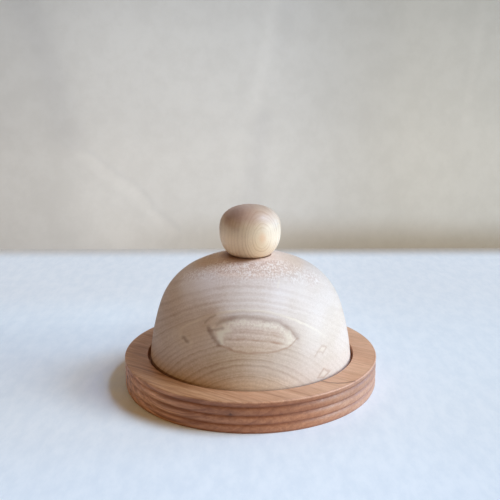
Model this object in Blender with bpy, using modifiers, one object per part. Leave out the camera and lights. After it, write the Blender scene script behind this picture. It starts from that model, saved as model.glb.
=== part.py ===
"""Turned wooden butter dish: a round plate, and a domed cloche that stands in the plate's recess.

The cloche carries a ball knob on a glued dowel, and the three lift off the plate together.
Metres, +Z up. The origin is the centre of the plate's underside, on the surface it stands on.
"""

import math

import bmesh
import bpy

MM = 0.001

# Clearances
SEAT_GAP = 0.3 * MM  # between a piece and the face it rests on, or the hole it sits in
FOOT_CLEARANCE = 1.25 * MM  # round the cloche's foot, so that it lifts out freely

# Plate: a disc turned from a board, its side a stack of beads with a groove between each two
PLATE_RADIUS = 76.0 * MM
PLATE_THICKNESS = 18.2 * MM
BEAD_PITCH = 4.95 * MM
GROOVE_DEPTH = 0.65 * MM
PLATE_EDGE_ROUND = 0.7 * MM
RECESS_DEPTH = 5.0 * MM
RECESS_CORNER = 0.8 * MM
RECESS_LIP_ROUND = 0.4 * MM

# Cloche: a side arc, a shoulder arc and a flatter crown, hollowed from below.
# Each angle is how far the surface faces up there, 0 where it is upright.
FOOT_RADIUS = 60.95 * MM
FOOT_LEAN = 3.4
SIDE_RADIUS = 138.4 * MM
SIDE_END = 18.6
SHOULDER_RADIUS = 38.5 * MM
SHOULDER_END = 64.9
CROWN_FLATNESS = 2.2  # exponent of the crown's curve: 2 is a parabola, more is flatter on top
WALL = 7.5 * MM
CROWN = 11.0 * MM
FOOT_INNER_ROUND = 1.0 * MM

# Knob: a squashed ball, flat where it stands on the crown
KNOB_RADIUS = 18.1 * MM
KNOB_TOP = 14.1 * MM  # from the widest level up to the pole
KNOB_BELLY = 18.0 * MM  # from the widest level down to where the curve would close
KNOB_FULLNESS = 2.42  # exponent: 2 is an ellipse, more is squarer
KNOB_BASE_RADIUS = 11.9 * MM
SEAT_MARGIN = 0.5 * MM  # width of the crown's flat that shows round the knob's base

# Dowel: fluted pin glued half in the crown and half in the knob
DOWEL_RADIUS = 4.0 * MM
DOWEL_CHAMFER = 0.8 * MM
FLUTES = 12
FLUTE_DEPTH = 0.4 * MM
CROWN_HOLE_DEPTH = 7.0 * MM
KNOB_HOLE_DEPTH = 14.0 * MM

# Smoothness of the turned surfaces
STEPS_ROUND = 64
STEPS_KNOB = 40
BEAD_POINTS = 5
ROUND_POINTS = 3
SIDE_POINTS = 4
SHOULDER_POINTS = 7
CROWN_POINTS = 5
KNOB_POINTS = 8
SHARP_ANGLE = math.radians(32)
WELD = 0.00001

# Heights and radii that follow from the above
RECESS_FLOOR = PLATE_THICKNESS - RECESS_DEPTH
RECESS_RADIUS = FOOT_RADIUS + FOOT_CLEARANCE
FOOT_HEIGHT = RECESS_FLOOR + SEAT_GAP
HOLE_RADIUS = DOWEL_RADIUS + SEAT_GAP
SEAT_RADIUS = KNOB_BASE_RADIUS + SEAT_MARGIN


def linear(colour):
    """The linear values of a colour given as eight-bit red, green and blue."""
    return [(c / 12.92 if c <= 0.04045 else ((c + 0.055) / 1.055) ** 2.4) for c in (v / 255 for v in colour)]


def wood(name, colour, roughness):
    """A bare or oiled wood, as one Principled material."""
    material = bpy.data.materials.new(name)
    material.use_nodes = True
    shader = material.node_tree.nodes["Principled BSDF"]
    shader.inputs["Base Color"].default_value = (*linear(colour), 1.0)
    shader.inputs["Roughness"].default_value = roughness
    shader.inputs["Metallic"].default_value = 0.0
    return material


def arc(centre, radius, start, end, points):
    """Points on a circular arc in the profile's plane, both ends included; angles in degrees."""
    turn = [math.radians(start + (end - start) * i / points) for i in range(points + 1)]
    return [(centre[0] + radius * math.cos(a), centre[1] + radius * math.sin(a)) for a in turn]


def turned(name, profile, steps, material, collection):
    """A lathe shape: the (radius, height) profile swept once round the Z axis.

    The profile starts and ends on the axis, and runs down the outer side, top to bottom.
    """
    mesh = bpy.data.meshes.new(name)
    chain = [(i, i + 1) for i in range(len(profile) - 1)]
    mesh.from_pydata([(x, 0.0, z) for x, z in profile], chain, [])
    piece = bpy.data.objects.new(name, mesh)
    collection.objects.link(piece)
    mesh.materials.append(material)
    screw = piece.modifiers.new("turn", "SCREW")
    screw.axis = "Z"
    screw.angle = math.tau
    screw.steps = steps
    screw.render_steps = steps
    screw.use_merge_vertices = True
    screw.merge_threshold = WELD
    baked(piece)
    return piece


def baked(piece):
    """Apply the piece's modifiers and shade its round faces smooth."""
    bpy.context.view_layer.update()
    graph = bpy.context.evaluated_depsgraph_get()
    mesh = bpy.data.meshes.new_from_object(piece.evaluated_get(graph))
    mesh.name = piece.name
    old = piece.data
    piece.modifiers.clear()
    piece.data = mesh
    bpy.data.meshes.remove(old)
    mesh.shade_smooth()
    mesh.set_sharp_from_angle(angle=SHARP_ANGLE)


def bead_side():
    """The plate's beaded side, from its rounded top edge down to the underside.

    Every bead is the same arc, a groove deep over one pitch. They are set out from the underside,
    so the top one is cut short by the upper face.
    """
    half = BEAD_PITCH / 2
    bead_radius = (half**2 + GROOVE_DEPTH**2) / (2 * GROOVE_DEPTH)
    grooves = max(1, math.floor((PLATE_THICKNESS - half) / BEAD_PITCH))

    def side_radius(height, middle):
        drop = min(abs(height - middle), half)
        return PLATE_RADIUS - bead_radius + math.sqrt(bead_radius**2 - drop**2)

    top_middle = grooves * BEAD_PITCH + half
    shoulder = PLATE_THICKNESS - PLATE_EDGE_ROUND
    edge_radius = side_radius(shoulder, top_middle)
    points = arc((edge_radius - PLATE_EDGE_ROUND, shoulder), PLATE_EDGE_ROUND, 90, 0, ROUND_POINTS)
    for bead in reversed(range(grooves + 1)):
        middle = bead * BEAD_PITCH + half
        top = min(middle + half, shoulder)
        bottom = middle - half
        for i in range(1, BEAD_POINTS + 1):
            height = top + (bottom - top) * i / BEAD_POINTS
            points.append((side_radius(height, middle), height))
    return points


def build_plate(collection):
    """The round plate: a flat rim round a shallow recess, and a beaded side."""
    lip = (RECESS_RADIUS + RECESS_LIP_ROUND, PLATE_THICKNESS - RECESS_LIP_ROUND)
    corner = (RECESS_RADIUS - RECESS_CORNER, RECESS_FLOOR + RECESS_CORNER)
    profile = [(0.0, RECESS_FLOOR)]
    profile += arc(corner, RECESS_CORNER, -90, 0, ROUND_POINTS)
    profile += arc(lip, RECESS_LIP_ROUND, 180, 90, ROUND_POINTS)
    profile += bead_side()
    profile.append((0.0, 0.0))
    material = wood("cherry_plate", (186, 138, 108), 0.55)
    return turned("plate", profile, STEPS_ROUND, material, collection)


def dome_outline(first_height, last_radius):
    """(radius, height above the foot) points up the dome's outside, from a height to a radius.

    The crown leaves the shoulder along its tangent and flattens towards the axis.
    """
    lean = math.radians(FOOT_LEAN)
    centre = (FOOT_RADIUS - SIDE_RADIUS * math.cos(lean), -SIDE_RADIUS * math.sin(lean))
    start = math.degrees(math.asin(math.sin(lean) + first_height / SIDE_RADIUS))
    outline = arc(centre, SIDE_RADIUS, start, SIDE_END, SIDE_POINTS)
    turn = math.radians(SIDE_END)
    top = outline[-1]
    centre = (top[0] - SHOULDER_RADIUS * math.cos(turn), top[1] - SHOULDER_RADIUS * math.sin(turn))
    outline += arc(centre, SHOULDER_RADIUS, SIDE_END, SHOULDER_END, SHOULDER_POINTS)[1:]
    reach, level = outline[-1]
    rise = reach / math.tan(math.radians(SHOULDER_END)) / CROWN_FLATNESS
    for i in range(1, CROWN_POINTS + 1):
        radius = reach + (last_radius - reach) * i / CROWN_POINTS
        outline.append((radius, level + rise * (1 - (radius / reach) ** CROWN_FLATNESS)))
    return outline


def seat_height():
    """Height of the small flat on the crown that the knob stands on."""
    return FOOT_HEIGHT + dome_outline(0.0, SEAT_RADIUS)[-1][1]


def hollow_outline():
    """The dome's inside: its outside's curve, drawn in by the wall at the foot and the crown on top."""
    across = (FOOT_RADIUS - WALL) / FOOT_RADIUS
    full_rise = dome_outline(0.0, 0.0)[-1][1]
    up = (full_rise - CROWN) / full_rise
    return [(x * across, FOOT_HEIGHT + z * up) for x, z in dome_outline(FOOT_INNER_ROUND / up, 0.0)]


def build_cloche(collection):
    """The hollow dome, with a flat and a blind dowel hole on its crown."""
    foot_round = RECESS_CORNER + SEAT_GAP
    outer = [(x, FOOT_HEIGHT + z) for x, z in dome_outline(foot_round, SEAT_RADIUS)]
    inner = hollow_outline()
    outer_edge = (outer[0][0] - foot_round, outer[0][1])
    inner_edge = (inner[0][0] + FOOT_INNER_ROUND, inner[0][1])
    seat = outer[-1][1]
    hole_floor = seat - CROWN_HOLE_DEPTH
    profile = [(0.0, hole_floor), (HOLE_RADIUS, hole_floor), (HOLE_RADIUS, seat)]
    profile += reversed(outer)
    profile += arc(outer_edge, foot_round, 0, -90, ROUND_POINTS)[1:]
    profile += arc(inner_edge, FOOT_INNER_ROUND, -90, -180, ROUND_POINTS)[:-1]
    profile += inner
    material = wood("maple_cloche", (222, 200, 175), 0.5)
    return turned("cloche", profile, STEPS_ROUND, material, collection)


def knob_radius(level, reach):
    """Radius of the knob at a level above or below its widest one, on a half that closes at reach."""
    return KNOB_RADIUS * max(0.0, 1 - (level / reach) ** KNOB_FULLNESS) ** (1 / KNOB_FULLNESS)


def knob_curve(reach, last):
    """(radius, level) points from the widest level to a last level, closest where the ball bends."""
    end = math.asin((last / reach) ** (KNOB_FULLNESS / 2))
    levels = [reach * math.sin(end * i / KNOB_POINTS) ** (2 / KNOB_FULLNESS) for i in range(KNOB_POINTS + 1)]
    return [(knob_radius(level, reach), level) for level in levels]


def build_knob(collection):
    """The ball knob, standing on the crown's flat, with a dowel hole in its base."""
    base = seat_height() + SEAT_GAP
    cut = KNOB_BELLY * (1 - (KNOB_BASE_RADIUS / KNOB_RADIUS) ** KNOB_FULLNESS) ** (1 / KNOB_FULLNESS)
    widest = base + cut
    upper = [(r, widest + level) for r, level in reversed(knob_curve(KNOB_TOP, KNOB_TOP))]
    lower = [(r, widest - level) for r, level in knob_curve(KNOB_BELLY, cut)[1:]]
    upper[0] = (0.0, widest + KNOB_TOP)
    hole_top = base + KNOB_HOLE_DEPTH
    profile = upper + lower + [(HOLE_RADIUS, base), (HOLE_RADIUS, hole_top), (0.0, hole_top)]
    material = wood("maple_knob", (226, 200, 172), 0.45)
    return turned("knob", profile, STEPS_KNOB, material, collection)


def build_dowel(collection):
    """The fluted pin between cloche and knob, with chamfered ends."""
    bottom = seat_height() - CROWN_HOLE_DEPTH + SEAT_GAP
    top = seat_height() + KNOB_HOLE_DEPTH
    core = DOWEL_RADIUS - FLUTE_DEPTH
    tip = core - DOWEL_CHAMFER
    levels = [(bottom, tip, tip), (bottom + DOWEL_CHAMFER, DOWEL_RADIUS, core)]
    levels += [(top - DOWEL_CHAMFER, DOWEL_RADIUS, core), (top, tip, tip)]
    shape = bmesh.new()
    rings = [flute_ring(shape, height, land, groove) for height, land, groove in levels]
    for low, high in zip(rings, rings[1:]):
        for i, corner in enumerate(low):
            follow = (i + 1) % len(low)
            shape.faces.new((corner, low[follow], high[follow], high[i]))
    shape.faces.new(rings[0][::-1])
    shape.faces.new(rings[-1])
    mesh = bpy.data.meshes.new("knob_dowel")
    shape.to_mesh(mesh)
    shape.free()
    mesh.materials.append(wood("beech_dowel", (205, 170, 135), 0.6))
    piece = bpy.data.objects.new("knob_dowel", mesh)
    collection.objects.link(piece)
    return piece


def flute_ring(shape, height, land, groove):
    """One ring of the dowel: two points on each land and two in each flute, all at one height."""
    ring = []
    for i in range(4 * FLUTES):
        angle = math.tau * i / (4 * FLUTES)
        radius = land if i % 4 < 2 else groove
        ring.append(shape.verts.new((radius * math.cos(angle), radius * math.sin(angle), height)))
    return ring


def main():
    for old in list(bpy.data.objects):
        bpy.data.objects.remove(old, do_unlink=True)
    collection = bpy.data.collections.new("butter_dish")
    bpy.context.scene.collection.children.link(collection)
    build_plate(collection)
    cover = bpy.data.objects.new("cover", None)
    cover.location = (0.0, 0.0, FOOT_HEIGHT)
    collection.objects.link(cover)
    bpy.context.view_layer.update()
    for piece in (build_cloche(collection), build_knob(collection), build_dowel(collection)):
        piece.parent = cover
        piece.matrix_parent_inverse = cover.matrix_world.inverted()


main()
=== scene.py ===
"""The looks of a turned wooden butter dish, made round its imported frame.

The plate is cherry with a beaded side, the cloche and its ball knob are maple, and a beech pin joins
them. Every piece is turned again here in fine steps, at the frame's own place and size, and every wood
is grown from its pith line, so that the rings run right through the solid and show on all its sides.
Lengths in the frame are metres. Lengths in a finish are millimetres, which is how its nodes measure.
"""

import logging
import math
import operator
from dataclasses import dataclass, field
from enum import Enum
from functools import cached_property, reduce

import bmesh
import bpy
from mathutils import Matrix, Vector


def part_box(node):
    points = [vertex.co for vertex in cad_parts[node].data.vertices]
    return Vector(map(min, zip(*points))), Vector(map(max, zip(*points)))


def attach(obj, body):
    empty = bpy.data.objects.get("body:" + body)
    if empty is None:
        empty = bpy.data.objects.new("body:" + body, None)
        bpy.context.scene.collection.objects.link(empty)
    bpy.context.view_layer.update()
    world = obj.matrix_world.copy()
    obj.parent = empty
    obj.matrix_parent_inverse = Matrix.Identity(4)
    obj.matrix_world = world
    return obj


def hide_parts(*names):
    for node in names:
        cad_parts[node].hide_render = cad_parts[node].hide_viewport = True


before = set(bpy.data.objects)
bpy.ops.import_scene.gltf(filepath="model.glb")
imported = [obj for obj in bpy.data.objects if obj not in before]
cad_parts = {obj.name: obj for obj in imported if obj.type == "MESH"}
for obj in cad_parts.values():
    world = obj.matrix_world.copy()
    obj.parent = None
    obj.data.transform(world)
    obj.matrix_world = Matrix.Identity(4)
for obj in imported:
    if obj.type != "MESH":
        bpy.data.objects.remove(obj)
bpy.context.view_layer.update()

log = logging.getLogger("butter_dish")

MM = 0.001
AXIS_REACH = 1e-7  # a point nearer to the axis than this lies on it
SHARP = math.radians(40)  # an edge that bends more than this stays crisp
FIBRE_LENGTH = 14.0  # how many times longer than wide a fibre's streak is

Triple = tuple[float, float, float]
Colour = Triple
Path = tuple[tuple[float, float], ...]
Outline = list[tuple[float, float]]
Socket = bpy.types.NodeSocket


def paint(red: float, green: float, blue: float) -> Colour:
    """The linear values of a colour.

    Args:
        red: red from 0 to 255, as a screen shows it.
        green: green, the same.
        blue: blue, the same.

    Returns:
        The three values from 0 to 1 that a shader socket takes.
    """
    parts = (value / 255 for value in (red, green, blue))
    return tuple(c / 12.92 if c <= 0.04045 else ((c + 0.055) / 1.055) ** 2.4 for c in parts)


UMBER = paint(126, 92, 76)
MAUVE = paint(146, 113, 97)
RUST = paint(164, 118, 90)
TAN = paint(208, 180, 152)
CREAM = paint(238, 223, 200)
IVORY = paint(238, 228, 210)
PEARL = paint(238, 229, 226)
SEPIA = paint(112, 66, 44)
KNOT = paint(78, 44, 30)
# Painted contact shade: the shadow under the knob, and in the gap where the dome stands in the recess.
PAINTED_CONTACT_SHADE = (0.40, 0.25, 0.17)
# Painted light and shade of folds in the sheet behind the table.
FOLD_LIT = (1.05, 1.05, 1.05)
FOLD_DIM = (0.93, 0.93, 0.94)


class Op(Enum):
    """The sums that a material's nodes do, by the name each goes by there."""

    ADD = "ADD"
    SUBTRACT = "SUBTRACT"
    MULTIPLY = "MULTIPLY"
    DIVIDE = "DIVIDE"
    ABSOLUTE = "ABSOLUTE"
    MAXIMUM = "MAXIMUM"
    MINIMUM = "MINIMUM"
    FRACTION = "FRACT"
    FLOOR = "FLOOR"
    COSINE = "COSINE"
    SCALE = "SCALE"
    DOT = "DOT_PRODUCT"
    LENGTH = "LENGTH"
    DISTANCE = "DISTANCE"


class Tone(Enum):
    """How one colour is laid over another."""

    OVER = "MIX"
    SHADE = "MULTIPLY"


@dataclass(frozen=True)
class Polish:
    """How a finished wood takes the light.

    Attributes:
        roughness: the mean roughness, which the grain varies.
        spread: how far the grain moves it to either side.
        coat: weight of the thin oil film on top.
        coat_roughness: roughness of that film.
        shine: how much light the wood itself reflects. Plain wood has 0.5.
    """

    roughness: float
    spread: float
    coat: float
    coat_roughness: float
    shine: float = 0.5


class Rub(Enum):
    """The finishes that the pieces are rubbed with."""

    BARE = Polish(0.68, 0.06, 0.0, 0.5)
    WAXED = Polish(0.60, 0.07, 0.0, 0.42, 0.3)
    OILED = Polish(0.50, 0.08, 0.22, 0.38)


@dataclass(frozen=True)
class Mark:
    """A drawn mark: a small one in the wood, or a stroke of painted light or painted shade that draws a soft
    fold in the sheet behind the table.

    Attributes:
        path: its corners in millimetres, across and up, or on the plate's face across and back.
        half_width: half its width.
        strength: how strongly it shows.
        colour: its colour.
    """

    path: Path
    half_width: float
    strength: float
    colour: Colour


class Tint:
    """A broad tint, which fades in from one place to another."""

    def __init__(self, colour: Colour, **fades: tuple[float, ...]) -> None:
        """Keep the tint.

        Args:
            colour: what the surface's colour is multiplied by.
            fades: for x, y, z, ring or out, where the fade starts and where it ends, and then how much
                of the tint shows at each, where that isn't 0 and 1.
        """
        self.colour = colour
        self.fades = fades


class Reading:
    """A number that is read at each place of a surface. Sums with it are written as with any number."""

    def __init__(self, sketch: "Sketch", socket: Socket) -> None:
        """Keep the sketch that it is in, and the output that gives it."""
        self.sketch = sketch
        self.socket = socket

    def __add__(self, other: object) -> "Reading":
        """The reading and another together."""
        return self.sketch.sum(Op.ADD, self, other)

    def __sub__(self, other: object) -> "Reading":
        """The reading less another."""
        return self.sketch.sum(Op.SUBTRACT, self, other)

    def __rsub__(self, other: object) -> "Reading":
        """A number less the reading."""
        return self.sketch.sum(Op.SUBTRACT, other, self)

    def __mul__(self, other: object) -> "Reading":
        """The reading times another."""
        return self.sketch.sum(Op.MULTIPLY, self, other)

    def __truediv__(self, other: object) -> "Reading":
        """The reading divided by another."""
        return self.sketch.sum(Op.DIVIDE, self, other)

    def __abs__(self) -> "Reading":
        """The reading without its sign."""
        return self.sketch.sum(Op.ABSOLUTE, self)

    def share(self, whole: float) -> "Reading":
        """The reading as a share of a whole.

        Args:
            whole: the reading that stands for 1.

        Returns:
            The share, held between 0 and 1.
        """
        part = self / whole
        part.socket.node.use_clamp = True
        return part

    def ease(self, low: object, high: object, start: float = 0.0, end: float = 1.0) -> "Reading":
        """A smooth step.

        Args:
            low: the reading at which it starts.
            high: the reading at which it ends.
            start: the result at its start.
            end: the result at its end.

        Returns:
            A number from start to end.
        """
        inputs = {"Value": self, "From Min": low, "From Max": high, "To Min": start, "To Max": end}
        return self.sketch.read("MapRange", inputs, interpolation_type="SMOOTHSTEP")

    def ridge(self, middle: float, inner: float, outer: float) -> "Reading":
        """A soft ridge, 1 at the middle.

        Args:
            middle: where it is highest.
            inner: how far it reaches below the middle.
            outer: how far it reaches above.

        Returns:
            A number from 0 to 1.
        """
        offset = self - middle
        below = self.sketch.sum(Op.MINIMUM, offset, 0.0) / inner
        above = self.sketch.sum(Op.MAXIMUM, offset, 0.0) / outer
        return (above - below).ease(0.0, 1.0, 1.0, 0.0)

    def curve(self, points: Path) -> "Reading":
        """A smooth curve drawn through points.

        Args:
            points: its points, in order, which it stays level beyond.

        Returns:
            The curve's height at the reading.
        """
        first, last = points[0][0], points[-1][0]
        low, high = min(y for _, y in points), max(y for _, y in points)
        drawn = self.sketch.read("FloatCurve", {})
        mapping = drawn.socket.node.mapping
        line = mapping.curves[0]
        for _ in points[2:]:
            line.points.new(0.5, 0.5)
        for knot, (x, y) in zip(line.points, points):
            knot.location = ((x - first) / (last - first), (y - low) / (high - low))
        mapping.update()
        self.sketch.feed(drawn.socket.node.inputs["Value"], (self - first).share(last - first))
        return drawn * (high - low) + low


class Sketch:
    """A material that is drawn one node at a time.

    Attributes:
        material: the material.
        shader: its shader.
        colour: the colour that is drawn so far.
    """

    def __init__(self, name: str, colour: Colour) -> None:
        """Start a material.

        Args:
            name: the material's name.
            colour: the colour that everything else is drawn over.
        """
        self.material = bpy.data.materials.new(name)
        self.material.use_nodes = True
        self.shader = self.material.node_tree.nodes["Principled BSDF"]
        self.colour: object = colour

    def feed(self, socket: Socket, value: object) -> None:
        """Give a socket its value.

        Args:
            socket: the input to fill.
            value: a reading, a node's output, or the number, vector or colour that the socket holds.
        """
        if isinstance(value, Reading):
            value = value.socket
        if isinstance(value, Socket):
            self.material.node_tree.links.new(value, socket)
        else:
            socket.default_value = (*value, 1.0) if socket.type == "RGBA" else value

    def node(self, kind: str, inputs: dict[str | int, object], **settings: object) -> bpy.types.Node:
        """Add a node.

        Args:
            kind: what kind of node it is.
            inputs: what its inputs are given, by their name or number.
            settings: its own settings.

        Returns:
            The node.
        """
        node = self.material.node_tree.nodes.new(f"ShaderNode{kind}")
        for name, value in settings.items():
            setattr(node, name, value)
        for name, value in inputs.items():
            self.feed(node.inputs[name], value)
        return node

    def read(self, kind: str, inputs: dict[str | int, object], **settings: object) -> Reading:
        """Add a node and read its first output."""
        return Reading(self, self.node(kind, inputs, **settings).outputs[0])

    def sum(self, op: Op, *values: object) -> Reading:
        """One sum on numbers."""
        return self.read("Math", dict(enumerate(values)), operation=op.value)

    def vector(self, op: Op, *values: object) -> Socket:
        """One sum on vectors that gives a vector."""
        return self.node("VectorMath", dict(enumerate(values)), operation=op.value).outputs[0]

    def measure(self, op: Op, *values: object) -> Reading:
        """One sum on vectors that gives a number."""
        node = self.node("VectorMath", dict(enumerate(values)), operation=op.value)
        return Reading(self, node.outputs["Value"])

    def scaled(self, vector: object, factor: object) -> Socket:
        """A vector made longer or shorter."""
        return self.node("VectorMath", {0: vector, "Scale": factor}, operation=Op.SCALE.value).outputs[0]

    def joined(self, x: object, y: object, z: object = 0.0) -> Socket:
        """A vector of its three numbers."""
        return self.node("CombineXYZ", {0: x, 1: y, 2: z}).outputs[0]

    def noise(self, vector: Socket, size: float, detail: float = 2.0, rough: float = 0.5) -> Reading:
        """Soft noise round 0.5.

        Args:
            vector: where it is read, in millimetres.
            size: the size of its blotches, in millimetres.
            detail: how many finer layers it has.
            rough: how strong the finer layers are.

        Returns:
            A number from about 0.2 to about 0.8.
        """
        inputs = {"Vector": vector, "Scale": 1 / size, "Detail": detail, "Roughness": rough}
        return self.read("TexNoise", inputs)

    def wander(self, vector: Socket, size: float, reach: float, detail: float = 2.0) -> Reading:
        """Soft noise round 0, as many times stronger as its reach says."""
        return (self.noise(vector, size, detail) - 0.5) * reach

    def mixed(self, tone: Tone, amount: object, under: object, over: object) -> Socket:
        """One colour laid over another, in an amount from 0 to 1."""
        inputs = {0: amount, 6: under, 7: over}
        return self.node("Mix", inputs, data_type="RGBA", blend_type=tone.value).outputs[2]

    def cover(self, amount: object, colour: object) -> None:
        """Lay a colour over what is drawn so far, in an amount from 0 to 1."""
        self.colour = self.mixed(Tone.OVER, amount, self.colour, colour)

    def shade(self, amount: object, tint: object) -> None:
        """Multiply what is drawn so far by a tint, in an amount from 0 to 1."""
        self.colour = self.mixed(Tone.SHADE, amount, self.colour, tint)

    def away(self, spot: Socket, path: Path) -> Reading:
        """How far a place is from a drawn path of straight strokes.

        Args:
            spot: the place, as a flat vector.
            path: the path's corners, in order.

        Returns:
            The distance to its nearest point.
        """
        gaps = []
        for start, end in zip(path, path[1:]):
            run = Vector(end) - Vector(start)
            offset = self.vector(Op.SUBTRACT, spot, (*start, 0.0))
            share = self.measure(Op.DOT, offset, (*run, 0.0)).share(run.length_squared)
            gaps.append(self.measure(Op.DISTANCE, offset, self.scaled((*run, 0.0), share)))
        return reduce(lambda one, other: self.sum(Op.MINIMUM, one, other), gaps)

    def draw(self, tone: Tone, spot: Socket, marks: tuple[Mark, ...], *within: Reading) -> None:
        """Draw marks, which are soft towards their edges.

        Args:
            tone: how they are laid on.
            spot: the place, as a flat vector.
            marks: the marks.
            within: what limits all of them, from 0 to 1.
        """
        for mark in marks:
            cover = self.away(spot, mark.path).ease(mark.half_width, 0.0)
            shown = reduce(operator.mul, within, cover) * mark.strength
            self.colour = self.mixed(tone, shown, self.colour, mark.colour)

    def finish(self, roughness: object, shine: float = 0.5) -> bpy.types.Material:
        """Give the shader what is drawn.

        Args:
            roughness: the surface's roughness.
            shine: how much light the surface itself reflects.

        Returns:
            The material.
        """
        self.feed(self.shader.inputs["Base Color"], self.colour)
        self.feed(self.shader.inputs["Roughness"], roughness)
        self.shader.inputs["Specular IOR Level"].default_value = shine
        return self.material


class Place:
    """The places of a surface, in millimetres of the frame.

    Attributes:
        sketch: the material that is drawn.
        point: the place.
        x: how far it is to the right of the dish's axis.
        y: how far behind it.
        z: how far up.
    """

    def __init__(self, sketch: Sketch) -> None:
        """Read the place.

        Args:
            sketch: the material that is drawn.
        """
        self.sketch = sketch
        self.point = sketch.scaled(sketch.node("TexCoord", {}).outputs["Object"], 1 / MM)
        outputs = sketch.node("SeparateXYZ", {0: self.point}).outputs
        self.x, self.y, self.z = (Reading(sketch, output) for output in outputs)

    @cached_property
    def out(self) -> Reading:
        """How far the place is from the dish's upright axis."""
        return self.sketch.measure(Op.LENGTH, self.sketch.joined(self.x, self.y))

    def tint(self, tints: tuple[Tint, ...], *within: Reading) -> None:
        """Lay broad tints on, in order.

        Args:
            tints: the tints.
            within: what limits all of them, from 0 to 1.
        """
        for tint in tints:
            fades = [getattr(self, way).ease(*ends) for way, ends in tint.fades.items()]
            self.sketch.shade(reduce(operator.mul, [*fades, *within]), tint.colour)


@dataclass(frozen=True)
class Pith:
    """The middle line of the tree that a piece was cut from.

    Attributes:
        point: a point on it, in millimetres of the frame.
        way: the direction that it and the fibres run in.
    """

    point: Triple
    way: Triple

    @property
    def unit(self) -> Triple:
        """The direction, one unit long."""
        return tuple(Vector(self.way).normalized())


class Grain(Place):
    """The places of a wood, with its rings and fibres laid out.

    Attributes:
        fibre: the place with the fibre's direction pressed together, so that noise on it makes streaks.
        ring: how far the place is from the pith.
        count: the same, counted in rings.
    """

    def __init__(self, sketch: Sketch, timber: "Timber") -> None:
        """Lay out the tree.

        Args:
            sketch: the material that is drawn.
            timber: the wood.
        """
        super().__init__(sketch)
        way = timber.pith.unit
        offset = sketch.vector(Op.SUBTRACT, self.point, timber.pith.point)
        offset = sketch.vector(Op.MULTIPLY, offset, (1.0, 1.0, 1 / timber.oval))
        along = sketch.measure(Op.DOT, offset, way)
        across = sketch.vector(Op.SUBTRACT, offset, sketch.scaled(way, along))
        self.fibre = sketch.vector(Op.ADD, across, sketch.scaled(way, along / FIBRE_LENGTH))
        slow = sketch.wander(self.fibre, 28.0, timber.ring_wander, 1.0)
        quick = sketch.wander(self.fibre, 3.5, 1.0, 1.0)
        self.ring = sketch.measure(Op.LENGTH, across) + (slow + quick)
        self.count = timber.counted(self.ring)


def year_line(count: Reading) -> Reading:
    """One soft line for each whole number of a count.

    Args:
        count: the count.

    Returns:
        0 between the lines, and each line's own strength on it.
    """
    within = count.sketch.sum(Op.FRACTION, count)
    number = count.sketch.sum(Op.FLOOR, count)
    chance = count.sketch.read("TexWhiteNoise", {"W": number}, noise_dimensions="1D")
    return within.ease(0.28, 0.78) * within.ease(0.76, 1.0, 1.0, 0.0) * chance.ease(0.0, 1.0, 0.35, 1.0)


def year_lines(count: Reading, between: float, share: object) -> Reading:
    """The same, with finer lines between, so many times as many and with a share of the strength."""
    return count.sketch.sum(Op.MAXIMUM, year_line(count), year_line(count * between) * share)


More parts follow.
